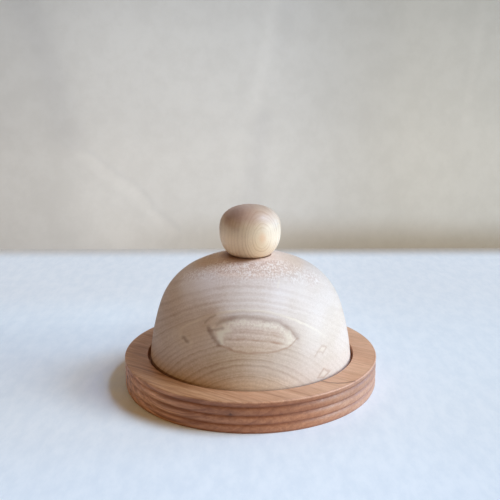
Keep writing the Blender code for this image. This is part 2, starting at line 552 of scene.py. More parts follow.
@dataclass(frozen=True)
class Timber:
    """A wood, with its rings, streaks and pores. Lengths are in millimetres.

    Attributes:
        name: the material's name.
        pith: where the tree's middle was.
        early: colour of the soft, light part of each ring.
        late: colour of the dark line that ends it.
        warm: a tint that comes and goes in broad patches.
        ring_step: mean width of a ring.
        ring_wander: how far the rings wander off true circles.
        line: how strongly the dark lines show.
        streak: how strongly the fine streaks show.
        pore: how strongly the pores show.
        relief: depth of the fine relief.
        rub: the finish that it is rubbed with.
        streak_shade: what a streak tints the wood with.
        oval: how many times taller than wide the rings are.
    """

    name: str
    pith: Pith
    early: Colour
    late: Colour
    warm: Colour
    ring_step: float
    ring_wander: float
    line: float
    streak: float
    pore: float
    relief: float
    rub: Rub
    streak_shade: Colour = (0.86, 0.82, 0.78)
    oval: float = 1.0

    def counted(self, ring: Reading) -> Reading:
        """The number of rings out from the pith, which are years of unlike width."""
        years = ring.sketch.joined(ring, 0.0)
        return ring / self.ring_step + ring.sketch.wander(years, 4.2 * self.ring_step, 2.2, 1.0)

    def lines(self, grain: Grain, share: object = 0.6, least: float = 0.5) -> Reading:
        """The dark line that ends each ring, with finer lines between.

        Args:
            grain: the grain.
            share: how strong the finer lines are.
            least: what is left of a line where it breaks off.

        Returns:
            0 in the light wood, and up to 1 on a line.
        """
        broken = grain.sketch.noise(grain.fibre, 9.0).ease(0.3, 0.6, least, 1.0)
        return year_lines(grain.count, 2.3, share) * broken

    def clearness(self, grain: Grain) -> object:
        """How clearly the rings show at a place. In plain wood they show evenly."""
        return 1.0

    def streaks(self, grain: Grain) -> Reading:
        """Fine streaks along the fibres, from 0 to 1."""
        return grain.sketch.noise(grain.fibre, 0.55, 2.0, 0.6).ease(0.35, 0.65)

    def plain(self, grain: Grain) -> Reading:
        """Colour the plain wood.

        Args:
            grain: the grain.

        Returns:
            The height of its fine relief.
        """
        sketch = grain.sketch
        lines, streaks = self.lines(grain), self.streaks(grain)
        pores = sketch.noise(grain.fibre, 0.33, 0.0).ease(0.66, 0.76)
        sketch.cover(sketch.noise(grain.fibre, 22.0).ease(0.38, 0.62), self.warm)
        sketch.cover(lines * (self.clearness(grain) * self.line), self.late)
        sketch.shade(streaks * self.streak, self.streak_shade)
        sketch.cover(pores * self.pore, self.late)
        return lines * 0.5 - (streaks * 0.5 + pores * 0.8)

    def figure(self, grain: Grain) -> None:
        """Add what only this piece of wood has. Plain wood has nothing."""

    def material(self) -> bpy.types.Material:
        """Draw the whole finish.

        Returns:
            The material.
        """
        sketch = Sketch(self.name, self.early)
        grain = Grain(sketch, self)
        height = self.plain(grain)
        self.figure(grain)
        relief = sketch.node("Bump", {"Strength": 1.0, "Distance": self.relief * MM, "Height": height})
        sketch.feed(sketch.shader.inputs["Normal"], relief.outputs[0])
        polish = self.rub.value
        sketch.shader.inputs["Coat Weight"].default_value = polish.coat
        sketch.shader.inputs["Coat Roughness"].default_value = polish.coat_roughness
        low, high = polish.roughness - polish.spread, polish.roughness + polish.spread
        return sketch.finish(sketch.noise(grain.fibre, 1.8).ease(0.3, 0.7, low, high), polish.shine)


@dataclass(frozen=True)
class ClocheMaple(Timber):
    """The dome's maple: end grain on its front, with a closed eye in the figure and a flecked crown.

    Attributes:
        first_ring: how far from the pith the count of rings starts.
        first_count: the count there.
        year_swing: the rings' width swings once in 2 pi times this length.
        swing_reach: how far the swing moves a ring to either side.
        tints: the warm heart, partly painted warm bounce from the plate, then painted light on the upper
            part, which is also paler wood, and painted shade on the right, the left, the upper left and the
            low right.
        flank_tints: painted shade that calms the right side behind the front.
        foot_tints: painted light on the front of the foot, and a line of painted shade where it goes into the
            recess.
        band_ring: how far from the pith the pale band over the eye lies.
        band_bend: how much nearer it comes at the sides, for each square millimetre across.
        crown_tints: the warm crown.
        crown_low: the level where the flecks start.
        crown_full: the level where they are full.
        crown_light: colour of a bright fleck.
        crown_dark: colour of a dark one.
        seat_radius: radius of the flat under the knob.
        eye_top: the eye's upper lid, across and up.
        eye_bottom: its lower lid.
        eye_light: the tint inside the eye.
        eye_step: how far apart the dark rows inside it are.
        marks: the soft patches and small marks on the front.
    """

    name: str = "maple_cloche_grain"
    pith: Pith = Pith((-1.8, 0.0, -16.8), (0.0, 1.0, -0.068))
    early: Colour = paint(218, 200, 188)
    late: Colour = paint(168, 134, 112)
    warm: Colour = paint(212, 193, 178)
    ring_step: float = 2.63
    ring_wander: float = 1.6
    line: float = 0.48
    streak: float = 0.3
    pore: float = 0.2
    relief: float = 0.04
    rub: Rub = Rub.WAXED
    first_ring: float = 36.5
    first_count: float = 0.15
    year_swing: float = 6.05
    swing_reach: float = 1.15
    tints: tuple[Tint, ...] = (
        # The warm heart: partly the wood's own colour, partly painted warm light bounced from the plate.
        Tint((0.94, 0.87, 0.75), ring=(63.0, 47.0), x=(28.0, -4.0, 0.05, 1.0)),
        # Painted light on the upper part, where the wood is also paler; then painted shade on the right, the
        # left, the upper left and the low right.
        Tint((1.15, 1.20, 1.27), z=(42.0, 66.0), x=(26.0, 0.0)),
        Tint((0.93, 0.94, 0.95), z=(44.0, 58.0), x=(16.0, 44.0)),
        Tint((0.90, 0.86, 0.83), x=(-34.0, -54.0)),
        Tint((0.94, 0.91, 0.88), z=(40.0, 50.0), x=(-24.0, -46.0)),
        Tint((0.97, 0.95, 0.91), z=(44.0, 30.0), x=(32.0, 44.0, 0.0, 0.2)),
    )
    # Painted shade on the right flank, behind the front.
    flank_tints: tuple[Tint, ...] = (Tint((0.90, 0.90, 0.90), y=(-22.0, 8.0), x=(8.0, 40.0)),)
    foot_tints: tuple[Tint, ...] = (
        # Painted light on the front of the foot, then a line of painted shade where the foot goes into the
        # recess.
        Tint((1.16, 1.15, 1.12), z=(27.0, 19.0), x=(34.0, 16.0)),
        Tint(PAINTED_CONTACT_SHADE, z=(18.8, 18.2), x=(-46.0, -20.0, 0.85, 0.1)),
    )
    band_ring: float = 72.7
    band_bend: float = 0.0018
    crown_tints: tuple[Tint, ...] = (Tint((1.04, 0.97, 0.91), z=(71.5, 74.0)),)
    crown_low: float = 70.3
    crown_full: float = 74.3
    crown_light: Colour = paint(246, 238, 234)
    crown_dark: Colour = paint(192, 158, 142)
    seat_radius: float = 12.4
    eye_top: Path = (
        (-22.6, 48.7), (-21.0, 50.2), (-18.5, 52.2), (-16.0, 53.9), (-11.0, 55.6), (-5.0, 56.6), (1.0, 56.4),
        (9.0, 55.2), (15.0, 53.8), (19.0, 51.3), (22.0, 48.4), (24.2, 45.4), (25.6, 43.8),
    )
    eye_bottom: Path = (
        (-22.6, 48.7), (-20.2, 45.0), (-17.5, 41.6), (-12.0, 40.2), (-8.0, 38.9), (-1.0, 38.1), (7.0, 37.9),
        (14.0, 38.4), (19.0, 39.3), (22.5, 41.0), (24.4, 42.8), (25.6, 43.8),
    )
    eye_light: Colour = (1.07, 1.06, 1.06)
    eye_step: float = 3.6
    marks: tuple[Mark, ...] = (
        Mark(((-25.5, 50.5), (-23.5, 55.0), (-20.5, 57.0)), 5.0, 0.28, RUST),
        Mark(((-34.0, 43.0), (-20.0, 51.0)), 13.0, 0.5, TAN),
        Mark(((-4.0, 64.0), (12.0, 63.0)), 13.0, 0.3, PEARL),
        Mark(((20.0, 60.0), (30.0, 52.0), (34.0, 44.0)), 16.0, 0.2, PEARL),
        Mark(((2.0, 31.0), (14.0, 31.0)), 11.0, 0.16, PEARL),
        Mark(((-36.0, 65.0), (-24.0, 70.0)), 10.0, 0.4, PEARL),
        Mark(((18.0, 69.0), (28.0, 67.0)), 8.0, 0.25, PEARL),
        Mark(((-15.8, 46.4), (-16.2, 43.8)), 2.8, 0.75, IVORY),
        Mark(((-11.5, 49.6), (-17.0, 47.4)), 2.2, 0.65, IVORY),
        Mark(((20.5, 47.6), (21.5, 43.6)), 3.2, 0.25, CREAM),
        Mark(((-17.8, 51.8), (-14.4, 54.0), (-8.5, 55.6)), 2.2, 0.2, UMBER),
        Mark(((19.0, 50.4), (22.6, 47.4), (26.0, 44.0)), 2.6, 0.22, MAUVE),
        Mark(((-22.6, 49.2), (-21.0, 46.6), (-19.4, 44.0), (-17.0, 41.8)), 2.3, 0.52, UMBER),
        Mark(((-22.2, 48.2), (-18.5, 49.2), (-14.8, 50.4)), 1.4, 0.36, UMBER),
        Mark(((-24.8, 51.8), (-22.0, 54.6), (-19.0, 56.2)), 1.0, 0.32, UMBER),
        Mark(((-38.2, 42.0), (-33.6, 39.6)), 3.2, 0.25, CREAM),
        Mark(((-37.0, 41.4), (-34.8, 40.3)), 2.1, 0.58, UMBER),
        Mark(((39.0, 34.6), (40.6, 34.2)), 2.2, 0.2, CREAM),
        Mark(
            ((35.6, 31.8), (37.4, 34.2), (39.8, 36.2), (42.4, 34.6), (40.3, 32.2), (37.4, 34.2)),
            1.0, 0.3, RUST,
        ),
        Mark(((40.6, 20.8), (41.2, 21.0)), 2.4, 0.2, CREAM),
        Mark(((37.4, 19.8), (40.8, 23.6), (44.4, 20.6), (40.5, 18.6), (37.4, 19.8)), 1.0, 0.4, RUST),
        Mark(((15.2, 68.6), (15.8, 71.0)), 0.8, 0.3, CREAM),
    )

    def counted(self, ring: Reading) -> Reading:
        """Count the rings, whose width swings from year to year.

        Args:
            ring: the distance from the pith.

        Returns:
            The number of rings, with its fraction.
        """
        sketch, past = ring.sketch, ring - self.first_ring
        late = (1.0 - sketch.sum(Op.COSINE, past / self.year_swing)) * self.swing_reach
        uneven = sketch.wander(sketch.joined(ring, 0.0), 5.0, 1.0, 1.0)
        return (past - (late + uneven)) / self.ring_step + self.first_count

    def wavering(self, grain: Grain, size: float, reach: float) -> tuple[Reading, Reading]:
        """The place across and up, shifted a little so that what is drawn there wavers."""
        shift = grain.sketch.wander(grain.point, size, reach)
        return grain.x + shift, grain.z + shift

    def front(self, grain: Grain) -> Reading:
        """1 on the front of the cloche, and 0 on its back."""
        return grain.y.ease(-10.0, -18.0)

    def lids(self, grain: Grain) -> tuple[Reading, Reading, Reading]:
        """Measure from the eye's two lids.

        Args:
            grain: the grain.

        Returns:
            How far a place is below the upper lid, how far it is above the lower one, and 1 inside both.
        """
        x, z = self.wavering(grain, 5.0, 1.6)
        below = x.curve(self.eye_top) - z
        above = z - x.curve(self.eye_bottom)
        inside = grain.sketch.sum(Op.MINIMUM, below, above).ease(-0.5, 1.2)
        return below, above, inside * self.front(grain)

    def lines(self, grain: Grain) -> Reading:
        """The rings' dark lines, with fainter fine ones between them near the heart."""
        return super().lines(grain, grain.ring.ease(54.0, 70.0, 0.5, 0.6), 0.6)

    def clearness(self, grain: Grain) -> Reading:
        """The rings stop at the eye, and are fainter above it and towards the right of the front.

        Args:
            grain: the grain.

        Returns:
            How clearly they show.
        """
        outside = (1.0 - self.lids(grain)[2]) * grain.z.ease(50.0, 60.0, 1.0, 0.7)
        # The rings fade towards the right of the front as painted glare, where the light washes them out.
        faded = grain.sketch.sum(Op.MAXIMUM, grain.x.ease(6.0, 42.0, 1.0, 0.25), grain.y.ease(-24.0, 14.0))
        return outside * grain.ring.ease(60.0, 48.0, 1.0, 1.2) * faded

    def figure(self, grain: Grain) -> None:
        """Add the warm heart, painted light and shade by place, the pale band, the flecked crown, the closed
        eye and the small marks.

        Args:
            grain: the grain.
        """
        sketch = grain.sketch
        grain.tint(self.tints)
        mottle = sketch.noise(grain.point, 1.2, 2.0, 0.6).ease(0.36, 0.64, 0.0, 0.6)
        sketch.shade(mottle * grain.x.ease(6.0, 34.0, 1.0, 0.5), self.streak_shade)
        self.band(grain)
        grain.tint(self.flank_tints)
        self.arcs(grain)
        grain.tint(self.foot_tints)
        self.crown(grain)
        self.eye(grain)
        sketch.draw(Tone.OVER, sketch.joined(*self.wavering(grain, 2.4, 1.2)), self.marks, self.front(grain))

    def band(self, grain: Grain) -> None:
        """Lay the pale band over the eye.

        Args:
            grain: the grain.
        """
        x = grain.x
        pale = (grain.ring + x * x * self.band_bend).ridge(self.band_ring, 1.1, 1.1)
        patchy = grain.sketch.noise(grain.point, 6.0).ease(0.4, 0.6, 0.8, 1.0)
        ends = x.ease(48.0, 26.0, 0.0, 0.55) * x.ease(-46.0, -32.0, 0.15, 1.0)
        grain.sketch.cover(pale * patchy * ends * self.front(grain), CREAM)

    def arcs(self, grain: Grain) -> None:
        """Lay pale arcs between the rings above the eye.

        Args:
            grain: the grain.
        """
        z = grain.z
        pale = year_line(grain.count + 0.5) * z.ease(52.0, 58.0) * z.ease(72.0, 66.0)
        grain.sketch.cover(pale * abs(grain.x).ease(38.0, 8.0, 0.0, 0.3) * self.front(grain), PEARL)

    def crown(self, grain: Grain) -> None:
        """Add short bright and dark strokes where the dome's top cuts the fibres at a low angle, and painted
        contact shade round the knob's seat.

        Args:
            grain: the grain.
        """
        sketch, x, out = grain.sketch, grain.x, grain.out
        edge = sketch.wander(grain.point, 8.0, 9.0) + abs(x).ease(14.0, 42.0, 0.0, 6.0)
        zone = (grain.z + edge).ease(self.crown_low, self.crown_full) * abs(grain.y).ease(4.0, 16.0)
        flecked = zone * out.ease(14.5, 19.0)
        strokes = sketch.noise(sketch.vector(Op.MULTIPLY, grain.point, (1.0, 0.45, 0.3)), 0.78, 1.0, 0.6)
        light = strokes.ease(0.48, 0.64) * flecked * x.ease(8.0, 34.0, 1.0, 0.45)
        dark = strokes.ease(0.50, 0.34) * flecked * out.ease(34.0, 20.0, 0.9, 1.5)
        blush = sketch.noise(grain.point, 6.0).ease(0.40, 0.62) * out.ease(27.0, 17.0, 0.25, 1.0) * zone
        grain.tint(self.crown_tints)
        sketch.cover(light * 0.62, self.crown_light)
        sketch.cover(dark * 0.5, self.crown_dark)
        sketch.cover(blush * 0.35, self.crown_dark)
        # Painted contact shade on the crown round the knob's seat.
        reach = x.ease(6.0, -5.0, self.seat_radius + 0.3, self.seat_radius + 8.0)
        sketch.shade(out.ease(reach, self.seat_radius, 0.0, 0.95), PAINTED_CONTACT_SHADE)

    def eye(self, grain: Grain) -> None:
        """Draw the closed eye: a thick mauve upper lid, a thin lower one, and pale wood with rows inside.

        Args:
            grain: the grain.
        """
        sketch, x = grain.sketch, grain.x
        below, above, inside = self.lids(grain)
        side = abs(x - 2.0).ease(11.0, 19.0)
        fine = sketch.noise(grain.point, 1.5, 1.0).ease(0.40, 0.56, 0.15, 1.0) * x.ease(8.0, 20.0, 1.0, 0.75)
        cream = sketch.sum(Op.MAXIMUM, side, below.ease(6.0, 3.4)) * (inside * fine)
        sketch.shade(inside, self.eye_light)
        sketch.cover(cream * 0.56, IVORY)
        sag = x * x * 0.007
        level = grain.z + sag + x * 0.06 + sketch.wander(grain.point, 5.0, 1.0)
        broken = sketch.noise(grain.point, 6.0).ease(0.35, 0.6, 0.45, 1.0)
        rows = year_lines(level / -self.eye_step + 0.2, 2.0, 0.5) * broken
        middle = inside * (1.0 - side * x.ease(0.0, 14.0, 0.85, 0.55)) * below.ease(3.5, 6.0)
        sketch.cover(rows * middle * 0.62, RUST)
        right, front = x.ease(27.5, 24.5), self.front(grain)
        shadow = below.ridge(0.4, 4.4, 3.0) * x.ease(-19.0, -14.0) * right
        lid = below.ridge(0.6, 1.7, 1.9) * x.ease(-20.0, -16.5) * right
        rim = above.ridge(0.0, 1.0, 1.0) * x.ease(-18.5, -16.5) * x.ease(26.5, 24.5)
        for mask, share, colour in ((shadow, 0.24, MAUVE), (lid, 0.5, MAUVE), (rim, 0.42, RUST)):
            sketch.cover(mask * front * share, colour)


@dataclass(frozen=True)
class KnobMaple(Timber):
    """The knob's maple: the pith comes out on its front, and its heart is mauve on top.

    Attributes:
        pith_tint: colour of the spot at the pith.
        heart_tint: colour of the heart.
        heart_level: the level where it starts.
        dusk: the middle of the darkest part of the heart, which is partly painted shade on the knob's upper
            left.
        dusk_tint: its colour.
        tints: painted light on the belly, a painted cool highlight on the right, painted light on the left
            flank and painted shade on the right side behind the front.
        foot_level: the level of the flat that it stands on.
    """

    name: str = "maple_knob_grain"
    pith: Pith = Pith((6.7, -15.4, 91.5), (-0.22, 1.0, 0.0))
    early: Colour = paint(220, 197, 168)
    late: Colour = paint(172, 134, 100)
    warm: Colour = paint(214, 188, 156)
    ring_step: float = 1.55
    ring_wander: float = 0.8
    line: float = 0.46
    streak: float = 0.25
    pore: float = 0.15
    relief: float = 0.03
    rub: Rub = Rub.OILED
    oval: float = 1.45
    pith_tint: Colour = paint(222, 176, 138)
    heart_tint: Colour = paint(176, 138, 122)
    heart_level: float = 99.6
    dusk: Triple = (-8.3, -9.2, 104.4)
    dusk_tint: Colour = paint(120, 92, 82)
    tints: tuple[Tint, ...] = (
        # Painted light on the belly, a painted cool highlight on the right, painted light on the left flank
        # and painted shade on the right behind the front.
        Tint((1.18, 1.18, 1.18), z=(98.0, 88.0)),
        Tint((1.0, 1.03, 1.12), x=(3.0, 15.0)),
        Tint((1.13, 1.13, 1.12), x=(-2.0, -12.0), z=(98.0, 90.0)),
        Tint((0.86, 0.86, 0.84), y=(-9.0, 2.0), x=(2.0, 12.0)),
    )
    foot_level: float = 78.4

    def figure(self, grain: Grain) -> None:
        """Add the mauve heart on top, painted light and shade by place, the tan spot at the pith and painted
        contact shade at the foot.

        Args:
            grain: the grain.
        """
        sketch, x, z = grain.sketch, grain.x, grain.z
        level = z + x * 0.04 + sketch.wander(grain.point, 6.0, 9.0)
        # The heart is laid more strongly on the left, and the dusk spot on the upper left: partly the heart's
        # own colour, partly painted shade.
        heart = level.ease(self.heart_level - 5.0, self.heart_level + 4.0) * x.ease(14.0, -6.0, 0.35, 0.8)
        sketch.cover(heart, self.heart_tint)
        spot = sketch.measure(Op.DISTANCE, grain.point, self.dusk) + sketch.wander(grain.point, 3.5, 9.0, 3.0)
        sketch.cover(spot.ease(9.0, 1.5, 0.0, 0.42) * heart, self.dusk_tint)
        grain.tint(self.tints)
        sketch.cover(grain.ring.ease(3.4, 0.3, 0.0, 0.6), self.pith_tint)
        # Painted contact shade round the knob's foot, where it stands on the crown.
        reach = x.ease(6.0, -4.0, self.foot_level + 0.8, self.foot_level + 2.4)
        sketch.shade(z.ease(reach, self.foot_level, 0.0, 0.7), PAINTED_CONTACT_SHADE)

    def clearness(self, grain: Grain) -> Reading:
        """The rings are faint next to the pith, and clearest on the right."""
        return grain.ring.ease(1.8, 7.0, 0.2, 1.0) * grain.x.ease(-8.0, 2.0, 1.0, 1.2)


@dataclass(frozen=True)
class PlateCherry(Timber):
    """The plate's cherry: a flat-sawn board whose fibres run from the back left to the front right.

    Attributes:
        radius: the plate's radius.
        lowest: its radius at the bottom of a groove.
        side_tints: the beaded side's own darker colour, then painted shade on its upper beads, painted light
            on its left and a painted cool highlight on its right.
        front_tints: painted shade on the part of the side that faces the front.
        bold_dark: the tint of the bold dark rings on the left side.
        bold_light: the tint of the light wood between them.
        face_tints: painted shade on the left of the upper face, where the cloche's shadow falls.
        edge_tints: a painted highlight along the upper edge, and painted shade over it on its right.
        wall_tints: painted light on the wall of the recess.
        groove_dark: the painted shade in the grooves.
        face_marks: fine dark lines on the upper face.
        knot_angle: how far round to the right of the front the pin knot is, in degrees.
        knot_level: how high it is.
        knot_radius: its radius.
    """

    name: str = "cherry_plate_grain"
    pith: Pith = Pith((20.0, 30.0, -118.0), (0.83, -0.56, 0.02))
    early: Colour = paint(230, 180, 144)
    late: Colour = paint(170, 114, 82)
    warm: Colour = paint(222, 168, 131)
    ring_step: float = 3.6
    ring_wander: float = 7.0
    line: float = 0.45
    streak: float = 0.9
    pore: float = 0.3
    relief: float = 0.045
    rub: Rub = Rub.OILED
    streak_shade: Colour = (0.73, 0.64, 0.56)
    radius: float = 76.0
    lowest: float = 75.35
    side_tints: tuple[Tint, ...] = (
        # The side's own darker colour, then painted shade on the upper beads, painted light on the left and a
        # painted cool highlight on the right.
        Tint((0.82, 0.68, 0.58)),
        Tint((0.84, 0.79, 0.75), z=(8.0, 12.0), x=(-20.0, -46.0, 1.0, 0.25)),
        Tint((1.17, 1.27, 1.22), x=(-24.0, -56.0)),
        Tint((0.91, 1.07, 1.36), x=(30.0, 64.0)),
    )
    # Painted shade on the side where it faces the front.
    front_tints: tuple[Tint, ...] = (Tint((0.80, 0.74, 0.70)),)
    bold_dark: Colour = (0.66, 0.55, 0.46)
    bold_light: Colour = (1.24, 1.28, 1.34)
    # Painted shade on the left of the upper face, where the cloche's shadow falls.
    face_tints: tuple[Tint, ...] = (Tint((0.845, 0.83, 0.70), x=(12.0, -45.0)),)
    # A painted highlight along the upper edge, and painted shade over it on the right.
    edge_tints: tuple[Tint, ...] = (
        Tint((1.03, 1.04, 1.08)),
        Tint((0.86, 0.82, 0.82), x=(5.0, 45.0)),
    )
    # Painted light on the wall of the recess.
    wall_tints: tuple[Tint, ...] = (Tint((1.15, 1.1, 1.1), out=(62.6, 62.3), z=(17.6, 16.8)),)
    # Painted shade in the grooves.
    groove_dark: Colour = (0.60, 0.46, 0.39)
    face_marks: tuple[Mark, ...] = (
        Mark(((-72.5, -24.2), (-60.0, -32.0), (-49.0, -39.8)), 1.1, 0.5, SEPIA),
        Mark(((39.4, -48.9), (43.5, -51.0), (47.9, -51.9), (52.5, -51.2), (57.4, -49.0)), 1.2, 0.7, SEPIA),
        Mark(((57.0, -20.4), (65.2, -26.5)), 0.7, 0.3, SEPIA),
    )
    knot_angle: float = -8.0
    knot_level: float = 11.0
    knot_radius: float = 1.1

    def figure(self, grain: Grain) -> None:
        """Tint the side and the face, partly with painted light and shade, darken the grooves with painted
        shade, and add the lines and the knot.

        Args:
            grain: the grain.
        """
        sketch, x, z, out = grain.sketch, grain.x, grain.z, grain.out
        side = out.ease(self.lowest - 0.9, self.lowest - 0.1) * z.ease(18.1, 17.0)
        grain.tint(self.side_tints, side)
        across = abs(x - 5.0)
        grain.tint(self.front_tints, side, across.ease(68.0, 28.0))
        bold = side * x.ease(-12.0, -44.0)
        sketch.shade(self.lines(grain) * bold, self.bold_dark)
        sketch.shade(year_line(grain.count + 0.45) * bold, self.bold_light)
        top = z.ease(17.0, 17.8)
        grain.tint(self.face_tints, top)
        grain.tint(self.edge_tints, out.ease(self.lowest - 0.9, self.lowest) * z.ease(16.8, 17.4))
        grain.tint(self.wall_tints)
        depth = self.radius - self.lowest
        deep = out.ease(self.radius - 0.02 * depth, self.lowest + 0.2 * depth)
        # Painted shade in the grooves between the beads.
        painted_groove_shade = deep * side * z.ease(17.0, 16.3) * across.ease(24.0, 64.0, 0.82, 0.6)
        sketch.shade(painted_groove_shade, self.groove_dark)
        sketch.draw(Tone.OVER, sketch.joined(x, grain.y), self.face_marks, top)
        self.knot(grain)

    def knot(self, grain: Grain) -> None:
        """Add the pin knot, with a faint halo.

        Args:
            grain: the grain.
        """
        turn = math.radians(self.knot_angle)
        middle = (self.radius * math.sin(turn), -self.radius * math.cos(turn), self.knot_level)
        away = grain.sketch.measure(Op.DISTANCE, grain.point, middle)
        dark = away.ease(self.knot_radius, 0.35 * self.knot_radius, 0.0, 0.85)
        halo = away.ease(4.0 * self.knot_radius, self.knot_radius, 0.0, 0.25)
        grain.sketch.cover(grain.sketch.sum(Op.MAXIMUM, dark, halo), KNOT)

    def clearness(self, grain: Grain) -> Reading:
        """The rings show most on the left, where the board's side runs along the fibres."""
        return grain.x.ease(-10.0, -50.0, 1.1, 1.7) * grain.x.ease(10.0, 50.0, 1.0, 0.55)

    def streaks(self, grain: Grain) -> Reading:
        """Broad and fine streaks along the fibres.

        Args:
            grain: the grain.

        Returns:
            How strongly a place is streaked.
        """
        broad = grain.sketch.noise(grain.fibre, 1.6, 3.0, 0.6).ease(0.36, 0.66)
        share = grain.x.ease(10.0, 50.0, 0.75, 0.55) * grain.x.ease(0.0, -45.0, 1.0, 1.3)
        return (broad + super().streaks(grain) * 0.6) * share


@dataclass(frozen=True)
class PinBeech(Timber):
    """The pin's beech, bare and plain."""

    name: str = "beech_dowel_grain"
    pith: Pith = Pith((25.0, 10.0, 0.0), (0.0, 0.0, 1.0))
    early: Colour = paint(210, 176, 140)
    late: Colour = paint(178, 138, 102)
    warm: Colour = paint(204, 166, 128)
    ring_step: float = 2.0
    ring_wander: float = 0.6
    line: float = 0.45
    streak: float = 0.5
    pore: float = 0.6
    relief: float = 0.04
    rub: Rub = Rub.BARE


def arc(centre: tuple[float, float], radius: float, start: float, end: float, points: int) -> Outline:
    """Points on a round stretch of an outline.

    Args:
        centre: the arc's centre, as radius and height.
        radius: the arc's radius.
        start: the angle it starts at, in degrees up from the radius direction.
        end: the angle it ends at.
        points: how many steps it has.

    Returns:
        The points, both ends included.
    """
    angles = [math.radians(start + (end - start) * i / points) for i in range(points + 1)]
    return [(centre[0] + radius * math.cos(a), centre[1] + radius * math.sin(a)) for a in angles]


def placed(name: str, shape: bmesh.types.BMesh) -> bpy.types.Object:
    """Put a finished shape in the scene.

    Args:
        name: the piece's name.
        shape: its shape, at its place in the frame.

    Returns:
        The piece.
    """
    mesh = bpy.data.meshes.new(name)
    shape.to_mesh(mesh)
    shape.free()
    piece = bpy.data.objects.new(name, mesh)
    bpy.context.scene.collection.objects.link(piece)
    return piece


def skin(shape: bmesh.types.BMesh, rings: list[list[bmesh.types.BMVert]], steps: int) -> None:
    """Join rings of corners by faces that look outwards.

    Args:
        shape: the shape that they are in.
        rings: the rings, in order. A ring of one corner closes the shape on the axis.
        steps: how many corners a full ring has.
    """
    for one, other in zip(rings, rings[1:]):
        for i in range(steps):
            corners = [one[i % len(one)], other[i % len(other)]]
            corners += [other[(i + 1) % len(other)], one[(i + 1) % len(one)]]
            shape.faces.new(list(dict.fromkeys(corners)))
    bmesh.ops.recalc_face_normals(shape, faces=shape.faces)


@dataclass
class Turned:
    """A piece of the dish, at the place of the frame's node that it stands for. Lengths are in metres.

    Attributes:
        node: the node's name.
        body: the body that it rides on.
        slot: the record's material slot. It is not used.
        timber: its wood.
        steps: how many steps it is turned in.
    """

    node: str
    body: str
    slot: str
    timber: Timber
    steps: int = 256

    def __post_init__(self) -> None:
        """Read the node's box."""
        self.low, self.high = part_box(self.node)

    def outline(self) -> Outline:
        """The piece's outline as radius and height, from the axis, down its outer side, to the axis."""
        raise NotImplementedError

    def shaped(self) -> bmesh.types.BMesh:
        """Turn the outline round the upright axis into one closed shape.

        Returns:
            The shape.
        """
        shape = bmesh.new()
        turns = [math.tau * i / self.steps for i in range(self.steps)]
        rings = []
        for r, height in self.outline():
            if r < AXIS_REACH:
                rings.append([shape.verts.new((0.0, 0.0, height))])
            else:
                rings.append([shape.verts.new((r * math.cos(a), r * math.sin(a), height)) for a in turns])
        skin(shape, rings, self.steps)
        return shape

    def make(self) -> bpy.types.Object:
        """Build the piece, dress it and put it on its body.

        Returns:
            The finished piece.
        """
        piece = placed(f"{self.node}_turned", self.shaped())
        piece.data.shade_smooth()
        piece.data.set_sharp_from_angle(angle=SHARP)
        piece.data.materials.append(self.timber.material())
        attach(piece, self.body)
        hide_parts(self.node)
        return piece


@dataclass
class Plate(Turned):
    """The plate: a flat rim round a shallow recess, over a side of turned beads.

    Attributes:
        bead_pitch: height of a bead.
        groove_depth: how deep the groove between two beads is.
        edge_round: rounding of the upper edge.
        recess_radius: radius of the recess.
        recess_depth: its depth.
        recess_corner: rounding at the foot of its wall.
        lip_round: rounding of its upper edge.
        bead_points: steps over one bead.
    """

    node: str = "plate"
    body: str = "plate"
    slot: str = "cherry_plate"
    timber: Timber = field(default_factory=PlateCherry)
    steps: int = 320
    bead_pitch: float = 4.95 * MM
    groove_depth: float = 0.65 * MM
    edge_round: float = 0.7 * MM
    recess_radius: float = 62.2 * MM
    recess_depth: float = 5.0 * MM
    recess_corner: float = 0.8 * MM
    lip_round: float = 0.4 * MM
    bead_points: int = 12

    def side(self) -> Outline:
        """The beads.

        Returns:
            Radius and height, from the rounded upper edge down to the underside.
        """
        radius, top = self.high.x, self.high.z
        half = self.bead_pitch / 2
        bead = (half**2 + self.groove_depth**2) / (2 * self.groove_depth)
        grooves = math.floor((top - half) / self.bead_pitch)

        def out(height: float, middle: float) -> float:
            """The side's radius at a height on the bead round a middle."""
            return radius - bead + math.sqrt(bead**2 - (height - middle) ** 2)

        shoulder = top - self.edge_round
        edge = out(shoulder, grooves * self.bead_pitch + half)
        points = arc((edge - self.edge_round, shoulder), self.edge_round, 90, 0, 8)
        for number in reversed(range(grooves + 1)):
            middle = number * self.bead_pitch + half
            upper, lower = min(middle + half, shoulder), middle - half
            for i in range(1, self.bead_points + 1):
                height = upper + (lower - upper) * i / self.bead_points
                points.append((out(height, middle), height))
        return points

    def outline(self) -> Outline:
        """The recess, the rim, the beaded side and the flat underside.

        Returns:
            Radius and height.
        """
        top = self.high.z
        floor = top - self.recess_depth
        corner = (self.recess_radius - self.recess_corner, floor + self.recess_corner)
        lip = (self.recess_radius + self.lip_round, top - self.lip_round)
        points = [(self.recess_radius * i / 8, floor) for i in range(8)]
        points += arc(corner, self.recess_corner, -90, 0, 6)
        points += arc(lip, self.lip_round, 180, 90, 6)
        points += self.side()
        inner = points[-1][0]
        return points + [(inner * (1 - i / 6), 0.0) for i in range(1, 7)]


